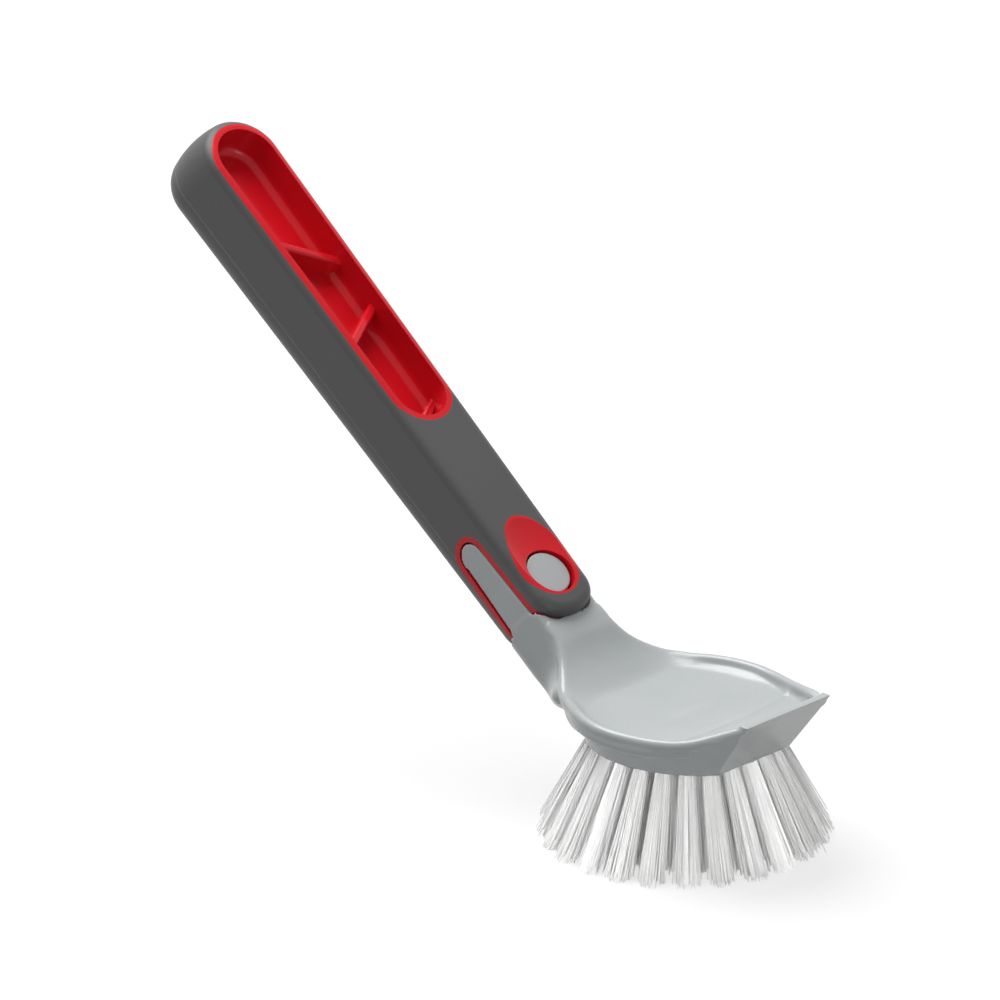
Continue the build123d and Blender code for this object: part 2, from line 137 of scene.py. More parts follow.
def linear(colour):
    """An sRGB hex colour as linear red, green, blue and alpha."""
    values = [int(colour[i : i + 2], 16) / 255 for i in (0, 2, 4)]
    curve = [v / 12.92 if v <= 0.04045 else ((v + 0.055) / 1.055) ** 2.4 for v in values]
    return (*curve, 1.0)


print("mid grey in linear light:", [round(v, 3) for v in linear("808080")[:3]])

# %% [markdown]
# ## Floor and light
# The brush is shown on white, in the soft light of a photographer's tent. A big
# lamp overhead gives the long pale highlights on the plastic, a weaker one fills
# the front, and the world around is white to the camera and dimmer as a light.
# The floor is white too, and keeps the brush's soft shadow. As a source of
# bounced light it counts as grey, so that the brush's underside stays darker.

# %% The world around the brush
WORLD_LIGHT = 0.4


def white_to_the_eye(tree):
    """1 where a ray comes from the camera, a reflection or clear plastic."""
    path = add(tree, "ShaderNodeLightPath")
    seen = add(
        tree,
        "ShaderNodeMath",
        {0: path.outputs["Is Camera Ray"], 1: path.outputs["Is Glossy Ray"]},
        operation="MAXIMUM",
    )
    both = add(
        tree,
        "ShaderNodeMath",
        {0: seen.outputs[0], 1: path.outputs["Is Transmission Ray"]},
        operation="MAXIMUM",
    )
    return both.outputs[0]


world = bpy.data.worlds.new("light_tent")
bpy.context.scene.world = world
world.use_nodes = True
tent = world.node_tree
tent.nodes.clear()
dim = add(tent, "ShaderNodeBackground", {"Color": linear("FFFFFF"), "Strength": WORLD_LIGHT})
bright = add(tent, "ShaderNodeBackground", {"Color": linear("FFFFFF"), "Strength": 1.0})
chosen = add(
    tent,
    "ShaderNodeMixShader",
    {0: white_to_the_eye(tent), 1: dim.outputs[0], 2: bright.outputs[0]},
)
add(tent, "ShaderNodeOutputWorld", {"Surface": chosen.outputs[0]})
print("light from the world:", WORLD_LIGHT)

# %% [markdown]
# The paper under the brush is one big flat face. Part of what the camera sees of
# it is its own glow, which makes it white, and the rest takes the shadow.

# %% The paper floor
FLOOR_SIZE = 6.0
FLOOR_GLOW = 0.7

floor_mesh = bpy.data.meshes.new("floor")
half = FLOOR_SIZE / 2
floor_mesh.from_pydata(
    [(-half, -half, 0), (half, -half, 0), (half, half, 0), (-half, half, 0)],
    [],
    [(0, 1, 2, 3)],
)
floor = bpy.data.objects.new("floor", floor_mesh)
bpy.context.scene.collection.objects.link(floor)
floor_paint = bpy.data.materials.new("white_paper_sweep")
floor_paint.use_nodes = True
paper = floor_paint.node_tree
paper.nodes.clear()
paper_path = add(paper, "ShaderNodeLightPath")
paper_tone = add(
    paper, "ShaderNodeMix", {0: paper_path.outputs["Is Diffuse Ray"]}, data_type="RGBA"
)
paper_tone.inputs[6].default_value = linear("F4F4F4")
paper_tone.inputs[7].default_value = linear("8C8C8C")
matt = add(paper, "ShaderNodeBsdfDiffuse", {"Color": paper_tone.outputs[2]})
glow = add(paper, "ShaderNodeEmission", {"Color": linear("FFFFFF"), "Strength": 1.0})
share = add(
    paper,
    "ShaderNodeMath",
    {0: white_to_the_eye(paper), 1: FLOOR_GLOW},
    operation="MULTIPLY",
)
sheet = add(
    paper, "ShaderNodeMixShader", {0: share.outputs[0], 1: matt.outputs[0], 2: glow.outputs[0]}
)
add(paper, "ShaderNodeOutputMaterial", {"Surface": sheet.outputs[0]})
floor_mesh.materials.append(floor_paint)
print("floor width in m:", FLOOR_SIZE)

# %% [markdown]
# A large square lamp has soft-edged shadows and long highlights, as a softbox
# does. Each is aimed by giving the place that it looks at.


# %% Soft lamps
def soft_lamp(name, place, target, size, power):
    """A square lamp at place that looks at target."""
    data = bpy.data.lights.new(name, "AREA")
    data.shape = "SQUARE"
    data.size = size
    data.energy = power
    lamp = bpy.data.objects.new(name, data)
    lamp.location = place
    lamp.rotation_mode = "QUATERNION"
    lamp.rotation_quaternion = (Vector(target) - Vector(place)).to_track_quat("-Z", "Y")
    bpy.context.scene.collection.objects.link(lamp)
    return lamp


soft_lamp("top_lamp", place=(-0.5, 0.05, 1.0), target=(-0.05, 0, 0.06), size=0.8, power=15.0)
soft_lamp("side_lamp", place=(1.2, -0.5, 0.22), target=(0, 0, 0.06), size=0.5, power=3.0)
print("lamps:", [light.name for light in bpy.data.lights])

# %% [markdown]
# ## Moulded plastics
# The head is polypropylene from a polished mould: pale, smooth and glossy, with
# a faint waviness where the plastic shrank as it cooled. The handle's core is
# the same sort of plastic, coloured red. The button is left a little duller by
# a fine texture in its mould. The three share one recipe with other numbers.

# %% Polypropylene from a polished mould
FLOW_WAVE = 14.0 * MM
MOULD_GRAIN = 0.5 * MM


def new_material(name):
    """An empty material, with its node tree."""
    made = bpy.data.materials.new(name)
    made.use_nodes = True
    made.node_tree.nodes.clear()
    return made, made.node_tree


def moulded_plastic(name, deep, pale, roughness, wave, grain, shine=0.5):
    """Moulded plastic, between two close colours, with its shrinkage and grain."""
    made, tree = new_material(name)
    place = add(tree, "ShaderNodeTexCoord").outputs["Object"]
    flow = add(
        tree,
        "ShaderNodeTexNoise",
        {"Vector": place, "Scale": 1 / FLOW_WAVE, "Detail": 2.0, "Roughness": 0.4},
    )
    fine = add(
        tree,
        "ShaderNodeTexNoise",
        {"Vector": place, "Scale": 1 / MOULD_GRAIN, "Detail": 3.0, "Roughness": 0.6},
    )
    tint = add(tree, "ShaderNodeMix", {0: flow.outputs["Fac"]}, data_type="RGBA")
    tint.inputs[6].default_value = linear(deep)
    tint.inputs[7].default_value = linear(pale)
    low = add(
        tree,
        "ShaderNodeBump",
        {"Height": flow.outputs["Fac"], "Strength": wave, "Distance": 1.0 * MM},
    )
    high = add(
        tree,
        "ShaderNodeBump",
        {
            "Height": fine.outputs["Fac"],
            "Strength": grain,
            "Distance": 0.1 * MM,
            "Normal": low.outputs["Normal"],
        },
    )
    rough = add(
        tree,
        "ShaderNodeMapRange",
        {"Value": fine.outputs["Fac"], "To Min": roughness * 0.85, "To Max": roughness * 1.15},
    )
    shader = add(
        tree,
        "ShaderNodeBsdfPrincipled",
        {
            "Base Color": tint.outputs[2],
            "Roughness": rough.outputs["Result"],
            "IOR": 1.49,
            "Specular IOR Level": shine,
            "Normal": high.outputs["Normal"],
        },
    )
    add(tree, "ShaderNodeOutputMaterial", {"Surface": shader.outputs[0]})
    return made


grey_plastic = moulded_plastic(
    "grey_polypropylene_polished", "9FA4A5", "A8ABAC", roughness=0.26, wave=0.35, grain=0.04
)
red_plastic = moulded_plastic(
    "red_polypropylene_polished",
    "BC0E19",
    "C81421",
    roughness=0.22,
    wave=0.3,
    grain=0.03,
    shine=0.25,
)
button_plastic = moulded_plastic(
    "grey_polypropylene_satin", "9A9D9F", "A3A6A8", roughness=0.42, wave=0.1, grain=0.25
)
print("plastics:", grey_plastic.name, red_plastic.name, button_plastic.name)

# %% [markdown]
# ## The rubber grip
# The grip is a soft thermoplastic rubber moulded over the core. It is dark
# grey, dull and very finely grained, and it picks up a little lint. Where the
# mould's halves met, a thin pale line runs along each side. The line is a level
# height in the handle's own frame, so plain distance maths can draw it.

# %% Overmoulded rubber
SEAM_BELOW = 17.2 * MM
SEAM_WIDTH = 0.13 * MM
RUBBER_GRAIN = 0.45 * MM
LINT_SPACING = 5.0 * MM

grip_rubber, rubber = new_material("dark_grey_tpe_overmoulded")
place = add(rubber, "ShaderNodeTexCoord").outputs["Object"]
grain = add(
    rubber,
    "ShaderNodeTexNoise",
    {"Vector": place, "Scale": 1 / RUBBER_GRAIN, "Detail": 4.0, "Roughness": 0.7},
)
cloud = add(
    rubber,
    "ShaderNodeTexNoise",
    {"Vector": place, "Scale": 1 / (20 * MM), "Detail": 2.0},
)
base = add(rubber, "ShaderNodeMix", {0: cloud.outputs["Fac"]}, data_type="RGBA")
base.inputs[6].default_value = linear("383838")
base.inputs[7].default_value = linear("3E3E3E")
print("rubber nodes for its colour:", len(rubber.nodes))

# %% [markdown]
# The seam is where a point's height over the handle is within a hair of the
# parting line's. Lint is a sparse cell pattern, with a speck in each cell's middle.

# %% The seam line and the lint
height = add(
    rubber,
    "ShaderNodeVectorMath",
    {0: place, 1: tuple(off_handle)},
    operation="DOT_PRODUCT",
)
from_seam = add(
    rubber,
    "ShaderNodeMath",
    {0: height.outputs["Value"], 1: off_handle.dot(handle_front) - SEAM_BELOW},
    operation="SUBTRACT",
)
distance = add(rubber, "ShaderNodeMath", {0: from_seam.outputs[0]}, operation="ABSOLUTE")
seam = add(
    rubber,
    "ShaderNodeMapRange",
    {
        "Value": distance.outputs[0],
        "From Min": 0.4 * SEAM_WIDTH,
        "From Max": SEAM_WIDTH,
        "To Min": 1.0,
        "To Max": 0.0,
    },
)
lint = add(
    rubber,
    "ShaderNodeTexVoronoi",
    {"Vector": place, "Scale": 1 / LINT_SPACING},
)
speck = add(
    rubber,
    "ShaderNodeMapRange",
    {
        "Value": lint.outputs["Distance"],
        "From Min": 0.012,
        "From Max": 0.03,
        "To Min": 0.55,
        "To Max": 0.0,
    },
)
pale_seam = add(rubber, "ShaderNodeMath", {0: seam.outputs[0], 1: 0.3}, operation="MULTIPLY")
marks = add(
    rubber,
    "ShaderNodeMath",
    {0: pale_seam.outputs[0], 1: speck.outputs[0]},
    operation="MAXIMUM",
)
coloured = add(rubber, "ShaderNodeMix", {0: marks.outputs[0]}, data_type="RGBA")
rubber.links.new(base.outputs[2], coloured.inputs[6])
coloured.inputs[7].default_value = linear("B8B8B8")
seam_bump = add(
    rubber,
    "ShaderNodeBump",
    {"Height": seam.outputs[0], "Strength": 0.5, "Distance": 0.1 * MM},
)
grain_bump = add(
    rubber,
    "ShaderNodeBump",
    {
        "Height": grain.outputs["Fac"],
        "Strength": 0.35,
        "Distance": 0.08 * MM,
        "Normal": seam_bump.outputs["Normal"],
    },
)
shader = add(
    rubber,
    "ShaderNodeBsdfPrincipled",
    {
        "Base Color": coloured.outputs[2],
        "Roughness": 0.5,
        "IOR": 1.5,
        "Sheen Weight": 0.08,
        "Sheen Roughness": 0.5,
        "Normal": grain_bump.outputs["Normal"],
    },
)
add(rubber, "ShaderNodeOutputMaterial", {"Surface": shader.outputs[0]})
print("rubber nodes:", len(rubber.nodes))

# %% [markdown]
# ## Nylon and wire
# The bristles are drawn nylon filament: white, slightly see-through, with a
# soft shine along each strand. Thin strands pass light to each other, which
# light scattered deep under the surface imitates. The anchors that hold the
# tufts are flat steel wire, hidden in the head.

# %% Drawn nylon, and flat steel wire
STRAND_GLOW = 6.0 * MM
nylon, tree = new_material("white_nylon_drawn_filament")
place = add(tree, "ShaderNodeTexCoord").outputs["Object"]
strand_tone = add(
    tree,
    "ShaderNodeTexNoise",
    {"Vector": place, "Scale": 1 / (1.5 * MM), "Detail": 1.0},
)
tone = add(tree, "ShaderNodeMix", {0: strand_tone.outputs["Fac"]}, data_type="RGBA")
tone.inputs[6].default_value = linear("F0F0EF")
tone.inputs[7].default_value = linear("FCFCFB")
shader = add(
    tree,
    "ShaderNodeBsdfPrincipled",
    {
        "Base Color": tone.outputs[2],
        "Roughness": 0.34,
        "IOR": 1.5,
        "Subsurface Weight": 1.0,
        "Subsurface Radius": (1.0, 1.0, 1.0),
        "Subsurface Scale": STRAND_GLOW,
    },
)
add(tree, "ShaderNodeOutputMaterial", {"Surface": shader.outputs[0]})

steel_wire, tree = new_material("steel_wire_flattened")
place = add(tree, "ShaderNodeTexCoord").outputs["Object"]
draw_marks = add(
    tree,
    "ShaderNodeTexNoise",
    {"Vector": place, "Scale": 1 / (0.2 * MM), "Detail": 2.0},
)
rough = add(
    tree,
    "ShaderNodeMapRange",
    {"Value": draw_marks.outputs["Fac"], "To Min": 0.25, "To Max": 0.4},
)
shader = add(
    tree,
    "ShaderNodeBsdfPrincipled",
    {"Base Color": linear("B9B9B7"), "Metallic": 1.0, "Roughness": rough.outputs[0]},
)
add(tree, "ShaderNodeOutputMaterial", {"Surface": shader.outputs[0]})
print("nylon and wire:", nylon.name, steel_wire.name)

# %% [markdown]
# ## Put the finishes on the parts
# The parts keep their own shapes. Only what they are made of changes, so each
# gets its material and nothing else.

# %% Assign the finishes
FINISHES = {
    "head_body": grey_plastic,
    "latch_button": button_plastic,
    "handle_core": red_plastic,
    "handle_grip": grip_rubber,
    "tuft_anchors": steel_wire,
}


def put_on(piece, material):
    """Gives a piece one material."""
    piece.data.materials.clear()
    piece.data.materials.append(material)


for name, material in FINISHES.items():
    put_on(parts[name], material)
print("finished parts:", len(FINISHES))

# %% [markdown]
# ## One smooth moulding
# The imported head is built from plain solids, so its neck, rim and dish meet in
# creases. In the real moulding they flow into each other. A copy of the head is
# turned into one even skin of small cells by a voxel remesh. A smoothing
# modifier then relaxes the skin, but only as far as a weight on each point
# allows: fully in the dish and the neck, a little on the bead, and not at all on
# the lip, the prongs and the lower edge of the wall.

# %% Copy the head, and fill the recess that the tufts stand in
SKIN_CELL = 0.5 * MM
RELAX_STEPS = 45
BOARD_THICKNESS = 1.6 * MM
board_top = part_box("bristles_outer")[1].z
board_face = board_top - BOARD_THICKNESS
board_radius = 26.7 * MM
RECESS_FILL = 2.4 * MM
RECESS_OVERLAP = 0.1 * MM
ROUND_SIDES = 96


def merged_copy(node):
    """The mesh of a part as a new mesh, with the points of its faces joined."""
    work = bmesh.new()
    work.from_mesh(parts[node].data)
    bmesh.ops.remove_doubles(work, verts=work.verts, dist=0.001 * MM)
    return work


head_work = merged_copy("head_body")
bmesh.ops.create_cone(
    head_work,
    cap_ends=True,
    segments=ROUND_SIDES,
    radius1=board_radius,
    radius2=board_radius,
    depth=RECESS_FILL,
    matrix=Matrix.Translation((0, 0, board_top + RECESS_FILL / 2 - RECESS_OVERLAP)),
)
print("points in the copy:", len(head_work.verts))

# %% [markdown]
# The photograph shows the neck's shoulders rising above its middle and running
# on round the dish, like the rim of a spoon. That spoon is one closed skin
# through upright slices. Each slice is a flat-topped shape with rounded corners
# whose top then sags in the middle: evenly on the neck, and late and steeply in
# the dish, which leaves a wide soft fillet inside the bead. Only a few slices
# are set down, and a smooth curve through their numbers gives those between.

# %% The spoon of neck and dish
SLICES = [
    # x, top of the shoulder, half width, rounding, sag, sharpness of the sag's
    # edge, depth, half width at the bottom; all but the sharpness in millimetres
    (-43.6, 53.9, 11.1, 2.0, 0.3, 2.0, 15.0, 10.4),
    (-41.0, 52.3, 11.6, 2.4, 0.6, 2.0, 16.0, 10.4),
    (-38.0, 50.2, 12.9, 3.0, 1.1, 2.0, 16.6, 10.7),
    (-35.0, 47.2, 15.6, 3.2, 1.5, 2.0, 15.4, 12.2),
    (-32.0, 44.6, 19.0, 3.0, 1.5, 2.2, 13.4, 14.7),
    (-28.5, 42.6, 22.4, 2.6, 1.9, 2.4, 11.8, 17.8),
    (-24.5, 41.5, 24.9, 2.2, 3.1, 2.6, 10.3, 20.8),
    (-20.0, 41.0, 26.8, 2.0, 4.2, 3.0, 8.8, 23.6),
    (-14.0, 40.9, 29.6, 2.0, 4.9, 3.4, 7.0, 27.4),
    (-7.0, 40.9, 31.7, 1.9, 5.1, 3.8, 5.5, 30.0),
    (0.0, 40.9, 32.3, 1.7, 5.2, 4.2, 4.5, 30.6),
    (7.0, 40.9, 32.0, 1.7, 5.4, 5.0, 4.5, 30.2),
    (13.0, 41.2, 30.4, 1.7, 6.2, 8.0, 4.5, 28.8),
    (16.0, 41.2, 29.0, 1.7, 7.5, 14.0, 4.5, 27.6),
]
SLICE_STEP = 1.5
BOTTOM_ROUND = 0.5
CORNER_STEPS = 6
EDGE_STEPS = 14


def between_slices(rows, x):
    """The numbers of a slice at x, on a smooth curve through the given rows."""
    k = max(n for n in range(len(rows) - 1) if rows[n][0] <= x)
    start, end = rows[k], rows[k + 1]
    before, after = rows[max(k - 1, 0)], rows[min(k + 2, len(rows) - 1)]
    share = (x - start[0]) / (end[0] - start[0])
    values = []
    for a, b, c, d in list(zip(before, start, end, after))[1:]:
        slope_in = (c - a) / (end[0] - before[0]) * (end[0] - start[0])
        slope_out = (d - b) / (after[0] - start[0]) * (end[0] - start[0])
        rest = 1 - share
        values.append(
            b * (1 + 2 * share) * rest**2
            + c * (3 - 2 * share) * share**2
            + slope_in * share * rest**2
            - slope_out * rest * share**2
        )
    return values


print("slices given:", len(SLICES))

# %% [markdown]
# A slice is a rounded four-cornered outline, with enough points on its edges to
# take the sag. Two helpers draw such an outline and join many into a closed skin.


# %% Draw the slices and skin them
def rounded_loop(corners, rounds):
    """Points round a polygon whose corners are rounded, with its edges divided."""
    arcs = []
    for k, (corner, radius) in enumerate(zip(corners, rounds)):
        corner = Vector(corner)
        back = (Vector(corners[k - 1]) - corner).normalized()
        ahead = (Vector(corners[(k + 1) % len(corners)]) - corner).normalized()
        half = back.angle(ahead) / 2
        start = corner + back * radius / math.tan(half)
        centre = corner + (back + ahead).normalized() * radius / math.sin(half)
        turn = (math.pi - 2 * half) / CORNER_STEPS
        sense = -1 if back.cross(ahead) > 0 else 1
        arm = start - centre
        arcs.append([])
        for step in range(CORNER_STEPS + 1):
            angle = turn * step * sense
            c, s = math.cos(angle), math.sin(angle)
            arcs[-1].append(centre + Vector((c * arm.x - s * arm.y, s * arm.x + c * arm.y)))
    loop = []
    for k, arc in enumerate(arcs):
        loop += arc
        after = arcs[(k + 1) % len(arcs)][0]
        loop += [arc[-1].lerp(after, step / EDGE_STEPS) for step in range(1, EDGE_STEPS)]
    return loop


def skin_through(work, rings):
    """Adds a closed skin through rings of equally many points."""
    rows = [[work.verts.new(point) for point in ring] for ring in rings]
    for row, following in zip(rows, rows[1:]):
        for k in range(len(row)):
            n = (k + 1) % len(row)
            work.faces.new((row[k], row[n], following[n], following[k]))
    work.faces.new(list(reversed(rows[0])))
    work.faces.new(rows[-1])


rings = []
slice_count = round((SLICES[-1][0] - SLICES[0][0]) / SLICE_STEP)
for number in range(slice_count):
    x = SLICES[0][0] + number * SLICE_STEP
    top, wide, rounding, sag, edge, depth, low_wide = between_slices(SLICES, x)
    loop = rounded_loop(
        [(wide, 0), (-wide, 0), (-low_wide, -depth), (low_wide, -depth)],
        [rounding, rounding, BOTTOM_ROUND, BOTTOM_ROUND],
    )
    ring = []
    for point in loop:
        share = 1 - min(abs(point.x) / wide, 1.0) ** edge
        drop = sag * share if point.y > -rounding else 0.0
        ring.append(Vector((x, point.x, top + max(point.y - drop, -depth))) * MM)
    rings.append(ring)
skin_through(head_work, rings)
print("slices in the spoon:", len(rings))

# %% [markdown]
# The rim rolls over outwards: below the bead the wall bulges before it draws in
# to the bristles. A thick tapering roll on each side gives that fullness.

# %% The rolled rim
PLATE_RADIUS = 32.0
CORNER_REACH = 0.16
CORNER_RISE = 2.6
ROLL_TURNS = (44.0, 150.0)
ROLL_STEP = 4.0
ROLL_RADIUS = 2.4
ROLL_INSET = 1.2
ROLL_TUCK = 0.6
ROLL_DROP = 2.3
ROLL_SIDES = 24
TAPER_START = 0.45
TAPER_STEP = 0.14


def roll_ring(turn, side, taper):
    """One round slice of the roll, at a turn from the front."""
    ahead = max(math.cos(turn), 0.0)
    size = ROLL_RADIUS * taper
    plate = PLATE_RADIUS * (1 + CORNER_REACH * ahead**2)
    reach = plate - ROLL_INSET + ROLL_RADIUS - size - ROLL_TUCK * taper
    height = RIM_HEIGHT / MM + CORNER_RISE * ahead**2 - ROLL_DROP
    ring = []
    for step in range(ROLL_SIDES):
        angle = 2 * math.pi * step / ROLL_SIDES
        out = reach + size * math.cos(angle)
        place = (out * math.cos(turn), side * out * math.sin(turn), height + size * math.sin(angle))
        ring.append(Vector(place) * MM)
    return ring


turn_count = int((ROLL_TURNS[1] - ROLL_TURNS[0]) / ROLL_STEP)
for side in (1, -1):
    rings = []
    for number in range(turn_count + 1):
        turn = math.radians(ROLL_TURNS[0] + number * ROLL_STEP)
        taper = min(1.0, TAPER_START + TAPER_STEP * min(number, turn_count - number))
        rings.append(roll_ring(turn, side, taper))
    skin_through(head_work, rings)
bmesh.ops.recalc_face_normals(head_work, faces=head_work.faces)
print("slices in a roll:", len(rings))

# %% [markdown]
# Beside the handle's rounded nose the real neck comes up flush with the handle
# and covers the corners. A plain length of the handle's own section makes this
# collar. What would sit inside the handle is taken away with a boolean, whose
# cutter is the convex hull of the grip's front, swollen by the gap between the
# two mouldings.

# %% The collar round the handle's nose
COLLAR = {"from": -9.0, "to": 5.0, "half": 10.9, "top": -3.4, "bottom": -24.5}
COLLAR_TOP_ROUND = 2.2
COLLAR_BOTTOM_ROUND = 7.4
NOSE_GAP = 0.45 * MM
NOSE_REACH = 40 * MM


def on_handle(down, across, height):
    """A place in the handle's own directions, in mm from its front."""
    return handle_front + (
        -up_handle * down + Vector((0, 1, 0)) * across + off_handle * height
    ) * MM


def plain_object(name, work):
    """Puts a working mesh into a new object."""
    bmesh.ops.recalc_face_normals(work, faces=work.faces)
    mesh = bpy.data.meshes.new(name)
    work.to_mesh(mesh)
    work.free()
    made = bpy.data.objects.new(name, mesh)
    bpy.context.scene.collection.objects.link(made)
    return made


def applied(piece):
    """Bakes the piece's modifiers into its mesh."""
    bpy.context.view_layer.update()
    evaluated = piece.evaluated_get(bpy.context.evaluated_depsgraph_get())
    mesh = bpy.data.meshes.new_from_object(evaluated)
    piece.modifiers.clear()
    piece.data = mesh


corners = [
    (COLLAR["half"], COLLAR["top"]),
    (-COLLAR["half"], COLLAR["top"]),
    (-COLLAR["half"], COLLAR["bottom"]),
    (COLLAR["half"], COLLAR["bottom"]),
]
section = rounded_loop(corners, [COLLAR_TOP_ROUND] * 2 + [COLLAR_BOTTOM_ROUND] * 2)
collar_work = bmesh.new()
skin_through(
    collar_work,
    [[on_handle(down, p.x, p.y) for p in section] for down in (COLLAR["from"], COLLAR["to"])],
)
collar = plain_object("collar", collar_work)
nose_work = bmesh.new()
for point in parts["handle_grip"].data.vertices:
    if (point.co - handle_front).dot(up_handle) < NOSE_REACH:
        nose_work.verts.new(point.co)
bmesh.ops.convex_hull(nose_work, input=nose_work.verts)
loose = [point for point in nose_work.verts if not point.link_faces]
bmesh.ops.delete(nose_work, geom=loose, context="VERTS")
bmesh.ops.recalc_face_normals(nose_work, faces=nose_work.faces)
nose_work.normal_update()
for point in nose_work.verts:
    point.co += point.normal * NOSE_GAP
nose = plain_object("nose", nose_work)
cut = collar.modifiers.new("cut", "BOOLEAN")
cut.operation = "DIFFERENCE"
cut.object = nose
cut.solver = "EXACT"
applied(collar)
head_work.from_mesh(collar.data)
print("points in the collar:", len(collar.data.vertices))
bpy.data.objects.remove(collar)
bpy.data.objects.remove(nose)

# %% [markdown]
# ### One even skin
# The remesh fills the copy, the spoon, the two rolls and the collar with cells
# and draws one surface round them.

# %% Remesh
head_mesh = bpy.data.meshes.new("moulded_head")
head_work.to_mesh(head_mesh)
head_work.free()
moulded_head = bpy.data.objects.new("moulded_head", head_mesh)
bpy.context.scene.collection.objects.link(moulded_head)
skin = moulded_head.modifiers.new("skin", "REMESH")
skin.mode = "VOXEL"
skin.voxel_size = SKIN_CELL
skin.use_smooth_shade = True
applied(moulded_head)
print("points in the skin:", len(moulded_head.data.vertices))

# %% [markdown]
# The weights come from each point's place. The neck, the dish and the bead each
# have a weight, a product of soft steps over the height and over a distance. A
# point takes the largest of the three.


# %% Relax it where the moulding is soft
def soft_step(low, high, value):
    """0 below low, 1 above high, and a smooth rise between them."""
    share = min(max((value - low) / (high - low), 0.0), 1.0)
    return share * share * (3 - 2 * share)


BEAD_WEIGHT = 0.12
# Where each soft step starts and ends. Heights are measured from the rim.
MOUTH_FADE = (0.5 * MM, 4 * MM)
NECK_FADE = (15 * MM, 23 * MM)
NECK_TOP_FADE = (-7 * MM, -3 * MM)
NECK_BACK_FADE = (20 * MM, 28 * MM)
DISH_EDGE_FADE = (26.5 * MM, 29 * MM)
DISH_FLOOR_FADE = (-5 * MM, -4 * MM)
LIP_FADE = (18 * MM, 24 * MM)
BEAD_FADE = (-4 * MM, -2 * MM)


def relaxing(place):
    """How far a point of the head may be smoothed."""
    out = math.hypot(place.x, place.y)
    up_from_rim = place.z - RIM_HEIGHT
    mouth = soft_step(*MOUTH_FADE, (handle_front - place).dot(up_handle))
    neck = mouth * soft_step(*NECK_FADE, -place.x)
    neck *= max(soft_step(*NECK_TOP_FADE, up_from_rim), soft_step(*NECK_BACK_FADE, -place.x))
    dish = 1 - soft_step(*DISH_EDGE_FADE, out)
    dish *= soft_step(*DISH_FLOOR_FADE, up_from_rim)
    bead = BEAD_WEIGHT * mouth * (1 - soft_step(*LIP_FADE, place.x))
    bead *= soft_step(*BEAD_FADE, up_from_rim)
    return max(neck, dish, bead)


group = moulded_head.vertex_groups.new(name="soft")
for point in moulded_head.data.vertices:
    weight = relaxing(point.co)
    if weight > 0:
        group.add([point.index], weight, "REPLACE")
relax = moulded_head.modifiers.new("relax", "SMOOTH")
relax.factor = 0.5
relax.iterations = RELAX_STEPS
relax.vertex_group = "soft"
applied(moulded_head)
for face in moulded_head.data.polygons:
    face.use_smooth = True
put_on(moulded_head, grey_plastic)
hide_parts("head_body")
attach(moulded_head, "head")
print("relaxed head:", [round(size / MM, 1) for size in moulded_head.dimensions])
print("head triangles:", sum(len(p.vertices) - 2 for p in moulded_head.data.polygons))

# %% [markdown]
# ## Where the tufts stand
# A brush machine sets the tufts in rings. Each ring has six tufts fewer than
# the one outside it, which keeps them evenly spaced. A small node group makes
# these places as points, and both the bristles and the face under them use it.

# %% A node group for the tuft places
RING_TUFTS = (24, 18, 12, 6)
OUTER_RING = 24.2 * MM
RING_PITCH = 6.0 * MM


def start_group(name, inputs):
    """A geometry node group with one geometry output and the named inputs."""
    tree = bpy.data.node_groups.new(name, "GeometryNodeTree")
    tree.interface.new_socket("Geometry", in_out="OUTPUT", socket_type="NodeSocketGeometry")
    for label, kind in inputs.items():
        tree.interface.new_socket(label, in_out="INPUT", socket_type=kind)
    return tree, tree.nodes.new("NodeGroupInput"), tree.nodes.new("NodeGroupOutput")


places_group, group_in, group_out = start_group(
    "tuft_places", {"Outer ring": "NodeSocketFloat", "Ring pitch": "NodeSocketFloat"}
)
rings = []
for number, count in enumerate(RING_TUFTS):
    step = add(
        places_group,
        "ShaderNodeMath",
        {0: group_in.outputs["Ring pitch"], 1: float(number)},
        operation="MULTIPLY",
    )
    radius = add(
        places_group,
        "ShaderNodeMath",
        {0: group_in.outputs["Outer ring"], 1: step.outputs[0]},
        operation="SUBTRACT",
    )
    rings.append(
        add(
            places_group,
            "GeometryNodeMeshCircle",
            {"Vertices": count, "Radius": radius.outputs[0]},
        )
    )
middle = add(places_group, "GeometryNodeMeshLine", {"Count": 1})
joined = add(places_group, "GeometryNodeJoinGeometry")
for source in rings + [middle]:
    places_group.links.new(source.outputs["Mesh"], joined.inputs[0])
places_group.links.new(joined.outputs[0], group_out.inputs[0])
print("tufts:", sum(RING_TUFTS) + 1)

# %% [markdown]
# ## The bristles
# One tuft is some forty strands, folded in half over an anchor and pressed into
# its hole, so eighty ends leave it in a round bundle and fan out. Modelling each strand by
# hand is out of the question, and hair curves can't be exported. Geometry Nodes
# place a thin four-sided rod for each strand, aim it outwards from the middle
# of the brush, vary its length a little, and bend it slightly. Every so often
# one strand goes its own way.

# %% The node tree for the bristles
bristle_group, group_in, group_out = start_group(
    "bristles",
    {
        "Outer ring": "NodeSocketFloat",
        "Ring pitch": "NodeSocketFloat",
        "Root height": "NodeSocketFloat",
        "Tuft radius": "NodeSocketFloat",
        "Strands in a tuft": "NodeSocketInt",
        "Splay": "NodeSocketFloat",
        "Fan": "NodeSocketFloat",
        "Strand radius": "NodeSocketFloat",
        "Uneven ends": "NodeSocketFloat",
        "Bend": "NodeSocketFloat",
        "Stray": "NodeSocketFloat",
        "Seed": "NodeSocketInt",
        "Material": "NodeSocketMaterial",
    },
)
value = group_in.outputs
GOLDEN_TURN = math.pi * (3 - math.sqrt(5))


